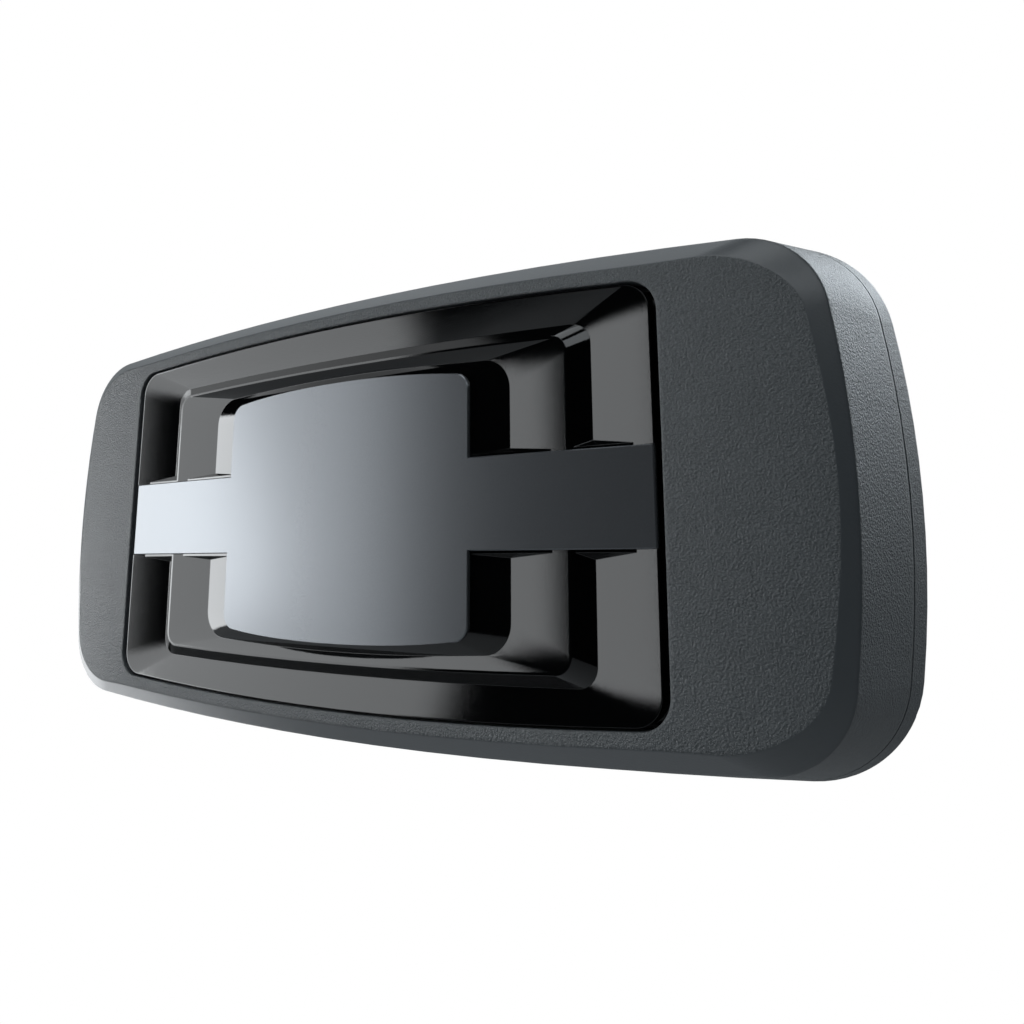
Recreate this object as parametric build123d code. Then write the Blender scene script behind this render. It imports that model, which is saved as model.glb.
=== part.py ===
from build123d import *
import math
import os

# A gateway for garage door openers: a charcoal wall box with a stepped glossy insert in its front.
# Millimetres. Each piece is drawn lying on its back: X is the long side, Y is up on the wall and Z is
# the height out from the back. The last function stands it up, so that in the files the front faces -Y
# and +Z is up, with the origin in the middle of the flat back.

# The case's outline at its back, where it is widest
case_width = 158.0
case_height = 77.4
case_side_bow_radius = 149.0
case_top_bow_radius = 729.0
case_corner_radius = 15.8
case_draft = 12.8
back_edge_round = 1.0

# Heights out from the back
parting_height = 4.8
parting_gap = 0.35
shoulder_height = 19.2
face_height = 22.75
face_flat_inset = 4.0
face_end_radius = 115.0

# The smooth band round the face, from the shoulder up: how far it rises past the shoulder and how far in
# it gets there at the ends and at top and bottom, and the bows and corners of its upper outline
crest_rise = 4.0
crest_end_inset = 8.83
crest_top_inset = 3.36
crest_side_bow_radius = 3000.0
crest_top_bow_radius = 655.0
crest_corner_radius = 10.3

# Walls and the lip that joins the two shells
wall = 2.2
floor = 2.0
face_wall = 2.4
lip_thickness = 1.2
lip_height = 1.8
lip_clearance = 0.15
cut_overrun = 2.0

# The glossy insert: rim, two terraces and the land that carries the cross plate
end_border = 27.0
top_border = 9.5
insert_side_bow_radius = 3000.0
insert_top_bow_radius = 610.0
insert_corner_radius = 3.9
insert_set_back = 0.25
insert_side_gap = 1.05
insert_top_gap = 0.4
rim_width = 0.15
ridge_width = 0.35
insert_back_depth = 3.6
flange_margin = 2.0
flange_thickness = 1.1
insert_back_wall = 1.6

# Each ring of the insert, from the rim inwards: the run of the slope or riser that leads to it at the
# ends and at top and bottom, the radius of its top's bow, its corner, and its height against the rim
outer_slope_end_run = 9.1
outer_slope_top_run = 4.75
outer_foot_bow_radius = 950.0
outer_foot_corner = 2.9
outer_foot_depth = 1.36
ridge_riser_end_run = 2.75
ridge_riser_top_run = 1.65
ridge_bow_radius = 877.0
ridge_corner = 2.5
ridge_rise = 0.33
inner_slope_end_run = 9.5
inner_slope_top_run = 1.7
inner_foot_bow_radius = 379.0
inner_foot_corner = 4.4
inner_foot_depth = 0.45

# The cross plate
plate_riser_end_run = 5.95
plate_riser_top_run = 1.25
plate_bow_radius = 198.0
plate_corner = 2.55
plate_crown_rise = 1.5
plate_thickness = 0.6
plate_edge_bevel = 0.15
plate_bevel_share = 0.5
edge_middle_share = 0.5
plate_seat_clearance = 0.02
band_height = 12.77
band_end_clearance = 0.1
band_flank_slope = 0.72
peg_radius = 0.9
peg_length = 2.2
peg_clearance = 0.1
peg_end_inset = 6.7
peg_top_inset = 7.85

# Insert fixing ears, on bosses behind the front wall
ear_reach = 5.4
ear_width = 7.0
ear_thickness = 1.2
ear_top_inset = 17.2
ear_boss_height = 2.8
ear_boss_radius = 2.9

# Circuit board, standing on posts on the rear shell
board_thickness = 1.6
board_lift = 1.5
board_width = 82.0
board_bottom_margin = 7.7
board_keyhole_gap = 3.8
board_corner = 2.0
tongue_end_gap = 10.0
tongue_height = 16.0
board_post_radius = 3.0
board_screw_inset = 4.0

# Screws: radii of shank and head, head height and length under the head
screw_clearance = 0.15
pilot_clearance = 0.05
drive_depth_share = 0.5
drive_slot_share = 0.22
board_screw_shank = 1.2
board_screw_head = 2.2
board_screw_head_height = 1.4
board_screw_length = 3.9
insert_screw_shank = 0.95
insert_screw_head = 1.9
insert_screw_head_height = 1.2
insert_screw_length = 3.0
case_screw_shank = 1.4
case_screw_head = 2.5
case_screw_head_height = 1.8
case_screw_length = 10.0
case_screw_end_inset = 16.0
case_screw_top_inset = 18.7
case_screw_seat = 2.6
case_boss_radius = 3.3
case_pillar_radius = 4.2
screw_run_out = 0.8

# Network jack, its mouth in the bottom wall
network_jack_x = -16.0
network_jack_width = 16.0
network_jack_height = 13.4
network_jack_depth = 21.0
jack_set_back = 4.5
jack_hole_clearance = 0.25
shell_thickness = 0.3
shell_clearance = 0.05
plug_mouth_width = 11.9
plug_mouth_height = 7.0
plug_mouth_base = 2.2
plug_depth = 14.0
latch_width = 6.4
latch_height = 2.4
contact_count = 8
contact_pitch = 1.02
contact_width = 0.45
contact_thickness = 0.3
contact_rise = 2.2
contact_wall_gap = 0.1

# Power jack
power_jack_x = 16.0
power_jack_width = 9.0
power_jack_height = 11.0
power_jack_depth = 13.5
power_bore_radius = 3.2
power_bore_depth = 10.0
power_axis_height = 6.5
power_pin_radius = 1.0
power_pin_length = 9.2
power_leaf_width = 2.4
power_leaf_thickness = 0.35
power_leaf_length = 6.5
power_leaf_gap = 0.1

# Chips and other parts on the board: width, height up the wall, thickness and place
transformer_width = 15.5
transformer_length = 12.7
transformer_thickness = 5.5
chip_top_margin = 1.5
transformer_lift = 0.3
lead_count = 8
lead_pitch = 1.6
lead_width = 0.6
lead_reach = 1.4
lead_thickness = 0.25
processor_size = 12.0
processor_thickness = 1.2
processor_x = 6.0
processor_top_margin = 4.0
memory_width = 6.0
memory_length = 6.0
memory_thickness = 1.0
memory_x = 16.5
memory_gap = 2.5
regulator_width = 6.6
regulator_length = 6.1
regulator_thickness = 1.6
regulator_x = 5.5
inductor_size = 7.2
inductor_thickness = 3.6
inductor_corner = 1.8
inductor_x = -3.2
power_parts_inset = 7.0
capacitor_radius = 3.15
capacitor_can_height = 7.2
capacitor_groove = 0.3
capacitor_x = 24.6
capacitor_spacing = 7.2
capacitor_count = 2
capacitor_inset = 9.5
crystal_width = 3.2
crystal_length = 5.0
crystal_thickness = 1.1
crystal_x = -2.8
crystal_gap = 3.0
chip_corner = 0.4
radio_can_width = 13.6
radio_can_length = 15.0
radio_can_height = 2.8
radio_can_wall = 0.25
radio_can_corner = 1.0
radio_x = 27.6
radio_chip_size = 6.0
radio_chip_thickness = 0.9
component_length = 1.6
component_width = 0.8
component_height = 0.6
component_pitch = 2.4

# Strip antenna, a bent metal bridge at the board's left
antenna_screw_gap = 1.8
antenna_span = 11.0
antenna_height = 6.5
antenna_width = 3.0
antenna_thickness = 0.5
antenna_foot = 2.5
antenna_bend_radius = 0.8

# Status lamps behind the insert, and their light pipe
lamp_count = 3
lamp_pitch = 3.0
lamp_x = -33.0
lamp_inset = 12.0
lamp_width = 2.0
lamp_length = 1.25
lamp_thickness = 0.8
pipe_radius = 1.25
pipe_lamp_gap = 0.1
pipe_bridge_thickness = 1.4
pipe_bridge_height = 6.0
pipe_bridge_width = 3.2
pipe_leg_radius = 1.0
pipe_leg_spacing = 11.2
pipe_leg_clearance = 0.1

# Side button and its switch
button_height = 9.7
button_radius = 2.4
button_clearance = 0.2
button_proud = 0.7
button_edge_round = 0.35
button_flange_radius = 3.7
button_flange_thickness = 1.2
button_flange_gap = 0.3
button_post_radius = 1.5
button_travel = 0.5
switch_width = 4.0
switch_length = 7.0
switch_height = 7.0
switch_edge = 0.5
switch_cover_thickness = 0.25
switch_cover_clearance = 0.03
plunger_size = 2.2
plunger_reach = 1.6
plunger_inside = 1.6
plunger_clearance = 0.12
plunger_run_out = 0.3

# Back: keyholes, feet and the blank label
keyhole_spacing = 60.0
keyhole_top_inset = 14.7
keyhole_head_radius = 4.2
keyhole_slot_width = 4.4
keyhole_slot_length = 6.0
foot_radius = 4.5
foot_thickness = 1.5
foot_recess = 0.5
foot_clearance = 0.1
foot_edge_round = 0.4
foot_end_inset = 33.0
foot_top_inset = 9.7
label_width = 42.0
label_height = 18.0
label_bottom_inset = 24.7
label_thickness = 0.3
label_clearance = 0.15
label_corner = 1.5

# Sizes and places that follow from the ones above
insert_width = case_width - 2 * end_border
insert_height = case_height - 2 * top_border
outer_foot_width = insert_width - 2 * outer_slope_end_run
outer_foot_height = insert_height - 2 * outer_slope_top_run
ridge_ring_width = outer_foot_width - 2 * ridge_riser_end_run
ridge_ring_height = outer_foot_height - 2 * ridge_riser_top_run
inner_foot_width = ridge_ring_width - 2 * inner_slope_end_run
inner_foot_height = ridge_ring_height - 2 * inner_slope_top_run
plate_width = inner_foot_width - 2 * plate_riser_end_run
plate_height = inner_foot_height - 2 * plate_riser_top_run
peg_x = plate_width / 2 - peg_end_inset
peg_y = plate_height / 2 - peg_top_inset
case_screw_x = case_width / 2 - case_screw_end_inset
case_screw_y = case_height / 2 - case_screw_top_inset
foot_x = case_width / 2 - foot_end_inset
foot_y = case_height / 2 - foot_top_inset
keyhole_y = case_height / 2 - keyhole_top_inset
label_y = -case_height / 2 + label_bottom_inset
jack_front = -case_height / 2 + jack_set_back
board_bottom = -case_height / 2 + board_bottom_margin
board_top = keyhole_y - keyhole_head_radius - board_keyhole_gap
tongue_end = -case_width / 2 + tongue_end_gap
transformer_y = board_top - chip_top_margin - transformer_length / 2
processor_y = board_top - processor_top_margin - processor_size / 2
memory_upper_y = board_top - chip_top_margin - memory_length / 2
memory_lower_y = memory_upper_y - memory_length - memory_gap
crystal_upper_y = board_top - chip_top_margin - crystal_length / 2
crystal_lower_y = crystal_upper_y - crystal_length - crystal_gap
radio_y = board_top - chip_top_margin - radio_can_length / 2
antenna_x = -board_width / 2 + board_screw_inset + board_screw_head + antenna_screw_gap + antenna_width / 2
antenna_y = board_top - chip_top_margin - antenna_foot - antenna_span / 2
regulator_y = board_bottom + power_parts_inset
inductor_y = board_bottom + power_parts_inset
capacitor_y = board_bottom + capacitor_inset
lamp_y = board_bottom + lamp_inset

# Heights that several pieces share
rim_height = face_height - insert_set_back
face_back = face_height - face_wall
board_base = floor + board_lift
board_face = board_base + board_thickness
insert_back = rim_height - insert_back_depth


def circles_meet(first, first_radius, second, second_radius):
    """The crossing point of two circles that lies in the first quadrant."""
    between = second - first
    distance = between.length
    along = (first_radius ** 2 - second_radius ** 2 + distance ** 2) / (2 * distance)
    across = math.sqrt(first_radius ** 2 - along ** 2)
    unit = between.normalized()
    middle = first + unit * along
    normal = Vector(-unit.Y, unit.X, 0)
    return max((middle + normal * across, middle - normal * across), key=lambda point: point.X + point.Y)


def bowed_face(width, height, side_radius, top_radius, corner_radius, z=0):
    """A rounded rectangle whose four sides bow outwards, as a flat face at the given height."""
    side_centre = Vector(width / 2 - side_radius, 0, 0)
    top_centre = Vector(0, height / 2 - top_radius, 0)
    corner = circles_meet(side_centre, side_radius - corner_radius, top_centre, top_radius - corner_radius)
    to_side = (corner - side_centre).normalized()
    to_top = (corner - top_centre).normalized()
    on_side = corner + to_side * corner_radius
    on_top = corner + to_top * corner_radius
    on_corner = corner + (to_side + to_top).normalized() * corner_radius

    def at(point, x_sign, y_sign):
        return (point.X * x_sign, point.Y * y_sign, z)

    side_middle = Vector(width / 2, 0, 0)
    top_middle = Vector(0, height / 2, 0)
    edges = []
    for sign in (1, -1):
        edges.append(ThreePointArc(at(on_side, sign, -1), at(side_middle, sign, 1), at(on_side, sign, 1)))
        edges.append(ThreePointArc(at(on_top, 1, sign), at(top_middle, 1, sign), at(on_top, -1, sign)))
        for other in (1, -1):
            edges.append(ThreePointArc(at(on_side, sign, other), at(on_corner, sign, other), at(on_top, sign, other)))
    return Face(Wire(edges))


def case_outline(z, inset=0):
    """The case's drafted outline at a height over its back, moved inwards by the inset."""
    shift = z * math.tan(math.radians(case_draft)) + inset
    return bowed_face(case_width - 2 * shift, case_height - 2 * shift, case_side_bow_radius - shift,
                      case_top_bow_radius - shift, case_corner_radius - shift, z)


def case_half_width(z):
    """Half the case's outer width at a height over its back."""
    return case_width / 2 - z * math.tan(math.radians(case_draft))


def case_half_height(z):
    """Half the case's outer height, in the middle of its length, at a height over its back."""
    return case_height / 2 - z * math.tan(math.radians(case_draft))


def case_block(bottom, top, inset=0):
    """The drafted case between two heights, as one solid."""
    return extrude(case_outline(bottom, inset), top - bottom, taper=case_draft)


def face_drop(x):
    """How far the front face has curved back at a distance from the middle."""
    beyond = max(abs(x) - insert_width / 2 + face_flat_inset, 0)
    return face_end_radius - math.sqrt(face_end_radius ** 2 - beyond ** 2)


def under_face(set_back):
    """Everything behind the front face moved back by set_back: flat in the middle, curved at both ends."""
    end = case_width / 2 + cut_overrun
    flat = insert_width / 2 - face_flat_inset
    top = face_height - set_back
    low = top - face_drop(end)
    middle = (flat + end) / 2
    half = case_height / 2 + cut_overrun
    outline = [
        Line((-flat, top), (flat, top)),
        ThreePointArc((flat, top), (middle, top - face_drop(middle)), (end, low)),
        Line((end, low), (end, -cut_overrun)),
        Line((end, -cut_overrun), (-end, -cut_overrun)),
        Line((-end, -cut_overrun), (-end, low)),
        ThreePointArc((-end, low), (-middle, top - face_drop(middle)), (-flat, top)),
    ]
    profile = Plane.XZ * Face(Wire(outline))
    return extrude(profile, half, both=True)


def under_crown(set_back):
    """Everything behind the cross plate's crowned face moved back by set_back."""
    half_length = insert_width / 2
    radius = (half_length ** 2 + plate_crown_rise ** 2) / (2 * plate_crown_rise)
    end = half_length + cut_overrun
    centre = rim_height + plate_crown_rise - radius
    low = centre + math.sqrt(radius ** 2 - end ** 2) - set_back
    top = rim_height + plate_crown_rise - set_back
    outline = [
        ThreePointArc((-end, low), (0, top), (end, low)),
        Line((end, low), (end, 0)),
        Line((end, 0), (-end, 0)),
        Line((-end, 0), (-end, low)),
    ]
    profile = Plane.XZ * Face(Wire(outline))
    return extrude(profile, insert_height / 2 + cut_overrun, both=True)


def crown_height(x):
    """Height of the cross plate's face at a distance from the middle."""
    half_length = insert_width / 2
    radius = (half_length ** 2 + plate_crown_rise ** 2) / (2 * plate_crown_rise)
    return rim_height + plate_crown_rise - radius + math.sqrt(radius ** 2 - x ** 2)


def block(width, length, height, x=0, y=0, z=0):
    """A box centred on x and y that stands on z."""
    return Pos(x, y, z) * Box(width, length, height, align=(Align.CENTER, Align.CENTER, Align.MIN))


def post(radius, height, x=0, y=0, z=0):
    """An upright cylinder centred on x and y that stands on z."""
    return Pos(x, y, z) * Cylinder(radius, height, align=(Align.CENTER, Align.CENTER, Align.MIN))


def along_y(radius, length, x, y, z):
    """A cylinder that runs up the wall from y."""
    bar = Cylinder(radius, length, align=(Align.CENTER, Align.CENTER, Align.MIN))
    return Pos(x, y, z) * Rot(-90, 0, 0) * bar


def along_x(radius, length, x, y, z):
    """A cylinder that runs along the case from x."""
    bar = Cylinder(radius, length, align=(Align.CENTER, Align.CENTER, Align.MIN))
    return Pos(x, y, z) * Rot(0, 90, 0) * bar


def rounded_block(width, length, height, radius, x=0, y=0, z=0):
    """A box with rounded upright edges."""
    return Pos(x, y, z) * extrude(RectangleRounded(width, length, radius), height)


def corners(x, y):
    """The four places at plus and minus x and y."""
    return [(x, y), (-x, y), (x, -y), (-x, -y)]


def board_screw_places():
    """The four board screws."""
    x = board_width / 2 - board_screw_inset
    return [(sign * x, y) for sign in (1, -1) for y in (board_top - board_screw_inset,
                                                        board_bottom + board_screw_inset)]


def ear_places():
    """The four ears of the insert, beyond its two ends."""
    x = insert_width / 2 + insert_side_gap + ear_reach
    return corners(x, insert_height / 2 - ear_top_inset)


def opening_face(z, margin=0):
    """The opening in the front face, or its outline moved outwards by a margin."""
    return bowed_face(insert_width + 2 * (insert_side_gap + margin), insert_height + 2 * (insert_top_gap + margin),
                      insert_side_bow_radius, insert_top_bow_radius, insert_corner_radius + insert_top_gap + margin, z)


def jack_notches():
    """The holes in the bottom wall for the two jacks, open to the parting line."""
    inner = jack_front + wall + cut_overrun
    outer = -case_height / 2 - cut_overrun
    base = parting_height
    notches = []
    for x, width, height in ((network_jack_x, network_jack_width, network_jack_height),
                             (power_jack_x, power_jack_width, power_jack_height)):
        top = board_face + height + jack_hole_clearance
        notches.append(block(width + 2 * jack_hole_clearance, inner - outer, top - base,
                             x, (inner + outer) / 2, base))
    return notches


def crest(inset=0):
    """The slope of the band round the face, flatter at the ends than at top and bottom."""
    upper = bowed_face(2 * (case_half_width(shoulder_height) - crest_end_inset - inset),
                       2 * (case_half_height(shoulder_height) - crest_top_inset - inset),
                       crest_side_bow_radius, crest_top_bow_radius, crest_corner_radius,
                       shoulder_height + crest_rise)
    return between(case_outline(shoulder_height, inset), upper)


def make_front_housing():
    """The front shell: drafted walls, a sloped band round the front, its opening, and the bosses inside."""
    base = parting_height + parting_gap
    outer = case_block(base, shoulder_height)
    outer = (outer + crest()) & under_face(0)
    cavity = case_block(base - cut_overrun, shoulder_height, wall)
    ceiling = block(case_width, case_height, face_back)
    cavity = (cavity + crest(wall)) & under_face(face_wall) & ceiling
    shell = outer - cavity
    opening = extrude(opening_face(face_back - cut_overrun), face_wall + 2 * cut_overrun)
    shell -= opening
    shell += [ear_boss(x, y) for x, y in ear_places()]
    shell += [case_boss(x, y) for x, y in corners(case_screw_x, case_screw_y)]
    shell -= [post(case_screw_shank + pilot_clearance, case_screw_length + screw_run_out, x, y, case_screw_seat)
              for x, y in corners(case_screw_x, case_screw_y)]
    shell -= [post(insert_screw_shank + pilot_clearance, insert_screw_length, x, y,
                   face_back - ear_boss_height - cut_overrun / 2) for x, y in ear_places()]
    shell -= jack_notches()
    shell -= button_hole()
    return shell


def ear_boss(x, y):
    """A boss behind the front wall that carries one ear of the insert."""
    overlap = face_wall / 2
    return post(ear_boss_radius, ear_boss_height + overlap, x, y, face_back - ear_boss_height)


def case_boss(x, y):
    """A long boss from the parting line to the front wall, for one case screw."""
    base = parting_height
    top = face_height - face_drop(abs(x) + case_boss_radius) - face_wall / 2
    return post(case_boss_radius, top - base, x, y, base)


def button_hole():
    """The round hole for the button in the left wall."""
    x = -case_half_width(button_height)
    return along_x(button_radius + button_clearance, 2 * (wall + cut_overrun), x - cut_overrun, 0, button_height)


def make_rear_housing():
    """The rear shell: a shallow pan with posts, pillars, keyholes and recesses."""
    outer = case_block(0, parting_height)
    outer = fillet(outer.faces().sort_by(Axis.Z)[0].edges(), back_edge_round)
    pan = outer - case_block(floor, parting_height + cut_overrun, wall)
    lip_inset = wall + lip_clearance
    lip = case_block(floor, parting_height + lip_height, lip_inset)
    lip -= case_block(floor - cut_overrun, parting_height + lip_height + cut_overrun, lip_inset + lip_thickness)
    root = case_block(floor, parting_height - parting_gap, wall / 2)
    root -= case_block(floor - cut_overrun, parting_height + cut_overrun, lip_inset + lip_thickness)
    lip += root
    lip -= jack_notches()
    flange_room = 2 * (button_flange_radius + button_clearance)
    lip -= block(case_width, flange_room, parting_height + lip_height, -case_width / 2, 0, parting_height)
    pan += lip
    pan += [post(board_post_radius, board_lift + floor / 2, x, y, floor / 2) for x, y in board_screw_places()]
    pan += [post(case_pillar_radius, parting_height - floor / 2, x, y, floor / 2)
            for x, y in corners(case_screw_x, case_screw_y)]
    pan -= [post(board_screw_shank + pilot_clearance, board_base, x, y, floor / 2) for x, y in board_screw_places()]
    pan -= [post(case_screw_head + screw_clearance, case_screw_seat + cut_overrun, x, y, -cut_overrun)
            for x, y in corners(case_screw_x, case_screw_y)]
    pan -= [post(case_screw_shank + screw_clearance, parting_height + cut_overrun, x, y, 0)
            for x, y in corners(case_screw_x, case_screw_y)]
    pan -= [keyhole(sign * keyhole_spacing / 2) for sign in (1, -1)]
    pan -= [post(foot_radius + foot_clearance, foot_recess + cut_overrun, x, y, -cut_overrun)
            for x, y in corners(foot_x, foot_y)]
    pan -= rounded_block(label_width + 2 * label_clearance, label_height + 2 * label_clearance,
                         label_thickness + cut_overrun, label_corner, 0, label_y, -cut_overrun)
    return pan


def keyhole(x):
    """The cut of one keyhole: a round hole for the screw's head with a slot above it."""
    depth = floor + 2 * cut_overrun
    head = post(keyhole_head_radius, depth, x, keyhole_y, -cut_overrun)
    slot = block(keyhole_slot_width, keyhole_slot_length, depth, x, keyhole_y + keyhole_slot_length / 2, -cut_overrun)
    end = post(keyhole_slot_width / 2, depth, x, keyhole_y + keyhole_slot_length, -cut_overrun)
    return head + slot + end


def ring(width, height, bow_radius, corner, z):
    """One of the insert's nested outlines."""
    return bowed_face(width, height, insert_side_bow_radius, bow_radius, corner, z)


def insert_outline(z, margin=0):
    """The insert's outer outline, moved outwards by a margin."""
    return ring(insert_width + 2 * margin, insert_height + 2 * margin, insert_top_bow_radius,
                insert_corner_radius + margin, z)


def ridge_outline(margin=0):
    """The ridge between the two terraces."""
    return ring(ridge_ring_width + 2 * margin, ridge_ring_height + 2 * margin, ridge_bow_radius,
                ridge_corner + margin, rim_height + ridge_rise)


def plate_outline(z):
    """The barrel-shaped centre of the cross plate."""
    return ring(plate_width, plate_height, plate_bow_radius, plate_corner, z)


def between(first, second):
    """The straight-sided solid between two outlines."""
    return loft([first, second], ruled=True)


def band_land():
    """The raised land under the band, with sloped flanks, following the plate's crown."""
    half_length = insert_width / 2
    sections = []
    for share in (-1, -1 / 2, 0, 1 / 2, 1):
        x = half_length * share
        top = crown_height(x)
        low = insert_back + flange_thickness
        half_top = band_height / 2
        half_low = half_top + (top - low) * band_flank_slope
        outline = Polyline((x, -half_top, top), (x, half_top, top), (x, half_low, low), (x, -half_low, low), close=True)
        sections.append(Face(Wire(outline.edges())))
    return loft(sections, ruled=True)


def plate_seat_cut():
    """The space that the cross plate fills, above its seat on the insert."""
    height = insert_back_depth + plate_crown_rise + cut_overrun
    band = block(insert_width + 2 * cut_overrun, band_height, height, 0, 0, insert_back)
    return band - under_crown(plate_thickness)


def make_glossy_insert():
    """The stepped insert: rim, sloped terraces with risers between them, the land and the ears."""
    outer_foot = ring(outer_foot_width, outer_foot_height, outer_foot_bow_radius, outer_foot_corner,
                      rim_height - outer_foot_depth)
    inner_foot = ring(inner_foot_width, inner_foot_height, inner_foot_bow_radius, inner_foot_corner,
                      rim_height - inner_foot_depth)
    body = extrude(insert_outline(insert_back), rim_height - insert_back)
    body -= between(insert_outline(rim_height, -rim_width), outer_foot)
    body += between(outer_foot, ridge_outline())
    body -= between(ridge_outline(-ridge_width), inner_foot)
    plate_seat = crown_height(plate_width / 2) - plate_thickness
    land = between(inner_foot, plate_outline(plate_seat))
    land += extrude(plate_outline(plate_seat), plate_crown_rise)
    land += band_land()
    land &= under_crown(plate_thickness)
    body += land & extrude(insert_outline(insert_back), insert_back_depth + plate_crown_rise)
    body -= plate_seat_cut()
    body += extrude(insert_outline(insert_back, flange_margin), flange_thickness)
    back_pocket = extrude(plate_outline(insert_back - cut_overrun), insert_back_depth - insert_back_wall + cut_overrun)
    body -= back_pocket
    body += [insert_ear(x, y) for x, y in ear_places()]
    body -= [post(insert_screw_shank + screw_clearance, insert_back_depth, x, y, insert_back - insert_back_depth)
             for x, y in ear_places()]
    body -= [post(peg_radius + peg_clearance, insert_back_depth + plate_crown_rise, x, y, insert_back)
             for x, y in corners(peg_x, peg_y)]
    return body


def insert_ear(x, y):
    """One fixing ear: a tab on its boss, joined to the flange by a step."""
    side = math.copysign(1, x)
    tab_top = face_back - ear_boss_height
    inner = insert_width / 2 + flange_margin - rim_width
    outer = abs(x) + ear_width / 2
    tab = block(outer - inner, ear_width, ear_thickness, side * (outer + inner) / 2, y, tab_top - ear_thickness)
    web_width = flange_margin - rim_width
    web = block(web_width, ear_width, insert_back + flange_thickness - tab_top + ear_thickness,
                side * (insert_width / 2 + flange_margin - web_width / 2), y, tab_top - ear_thickness)
    return tab + web


def make_cross_plate():
    """The satin plate: a band from end to end joined with the barrel-shaped centre."""
    height = insert_back_depth + plate_crown_rise
    centre = extrude(plate_outline(insert_back), height + cut_overrun)
    band = block(insert_width - 2 * band_end_clearance, band_height, height + cut_overrun, 0, 0, insert_back)
    plate = (centre + band) & under_crown(0)
    plate -= under_crown(plate_thickness - plate_seat_clearance)
    front_edges = [edge for edge in plate.edges() if edge.position_at(edge_middle_share).Z
                   > plate_face_height(edge) - plate_thickness / 2
                   and abs(edge.tangent_at(edge_middle_share).Z) < plate_bevel_share]
    plate = chamfer(front_edges, plate_edge_bevel)
    seat = crown_height(peg_x) - plate_thickness
    plate += [post(peg_radius, peg_length + plate_thickness / 2, x, y, seat - peg_length)
              for x, y in corners(peg_x, peg_y)]
    return plate


def plate_face_height(edge):
    """Height of the plate's face above the middle of an edge."""
    return crown_height(edge.position_at(edge_middle_share).X)


def screw(shank, head, head_height, length, x, y, seat, up):
    """A pan-head screw with a cross recess; its head sits at the seat, up says which way the shank runs."""
    shaft = post(shank, length, 0, 0, 0)
    cap = post(head, head_height, 0, 0, -head_height)
    cap = fillet(cap.faces().sort_by(Axis.Z)[0].edges(), head_height / 2)
    slot = head * drive_slot_share * 2
    depth = head_height * drive_depth_share
    for width, height in ((slot, head), (head, slot)):
        cap -= block(width, height, depth, 0, 0, -head_height)
    tip = fillet(shaft.faces().sort_by(Axis.Z)[-1].edges(), shank / 2)
    body = cap + tip
    if not up:
        body = Rot(180, 0, 0) * body
    return Pos(x, y, seat) * body


def make_board():
    """The circuit board: a rectangle with a tongue that reaches the side button."""
    height = board_top - board_bottom
    board = rounded_block(board_width, height, board_thickness, board_corner, 0, (board_top + board_bottom) / 2,
                          board_base)
    inner = -board_width / 2 + board_corner
    board += rounded_block(inner - tongue_end, tongue_height, board_thickness, board_corner,
                           (inner + tongue_end) / 2, 0, board_base)
    board -= [post(board_screw_shank + screw_clearance, board_thickness + 2 * cut_overrun, x, y,
                   board_base - cut_overrun) for x, y in board_screw_places()]
    board -= [post(pipe_leg_radius + pipe_leg_clearance, board_thickness + 2 * cut_overrun, x, lamp_y,
                   board_base - cut_overrun) for x in pipe_leg_places()]
    return board


def network_cavity(depth):
    """The plug's space in the network jack: the mouth and the slot for its latch."""
    x, y = network_jack_x, jack_front
    base = board_face + plug_mouth_base + latch_height
    mouth = block(plug_mouth_width, depth + cut_overrun, plug_mouth_height, x, 0, base)
    latch = block(latch_width, depth + cut_overrun, latch_height + shell_thickness, x, 0, base - latch_height)
    return Pos(0, y + (depth - cut_overrun) / 2, 0) * (mouth + latch)


def make_network_jack_shell():
    """The sheet metal shell of the network jack: closed round four sides and at the back."""
    y = jack_front + network_jack_depth / 2
    shell = block(network_jack_width, network_jack_depth, network_jack_height, network_jack_x, y, board_face)
    inner_width = network_jack_width - 2 * shell_thickness
    inner_height = network_jack_height - shell_thickness + cut_overrun
    inner_depth = network_jack_depth - 2 * shell_thickness
    shell -= block(inner_width, inner_depth, inner_height, network_jack_x, y, board_face - cut_overrun)
    shell -= network_cavity(shell_thickness * 2)
    return shell


def make_network_jack_body():
    """The plastic inside of the network jack, with the plug's space."""
    clear = shell_thickness + shell_clearance
    y = jack_front + network_jack_depth / 2
    body = block(network_jack_width - 2 * clear, network_jack_depth - 2 * clear, network_jack_height - clear,
                 network_jack_x, y, board_face)
    body -= network_cavity(plug_depth)
    return body


def make_network_jack_contacts():
    """Eight spring wires that slope down into the plug's space from the far side."""
    top = board_face + plug_mouth_base + latch_height + plug_mouth_height - contact_wall_gap
    far = jack_front + plug_depth - contact_thickness
    near = jack_front + plug_depth / 3
    places = [network_jack_x + (index - (contact_count - 1) / 2) * contact_pitch for index in range(contact_count)]
    return [contact_wire(x, far, near, top) for x in places]


def contact_wire(x, far, near, top):
    """One contact: along the ceiling from the mouth, then bent down towards the back of the space."""
    start = Vector(0, near, top - contact_thickness / 2)
    bend = Vector(0, near + contact_rise, top - contact_thickness / 2)
    end = Vector(0, far, top - contact_rise)
    path = Polyline(start, bend, end)
    section = Plane(start, x_dir=(1, 0, 0), z_dir=(0, 1, 0)) * Rectangle(contact_width, contact_thickness)
    return Pos(x, 0, 0) * sweep(section, path, transition=Transition.RIGHT)


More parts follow.
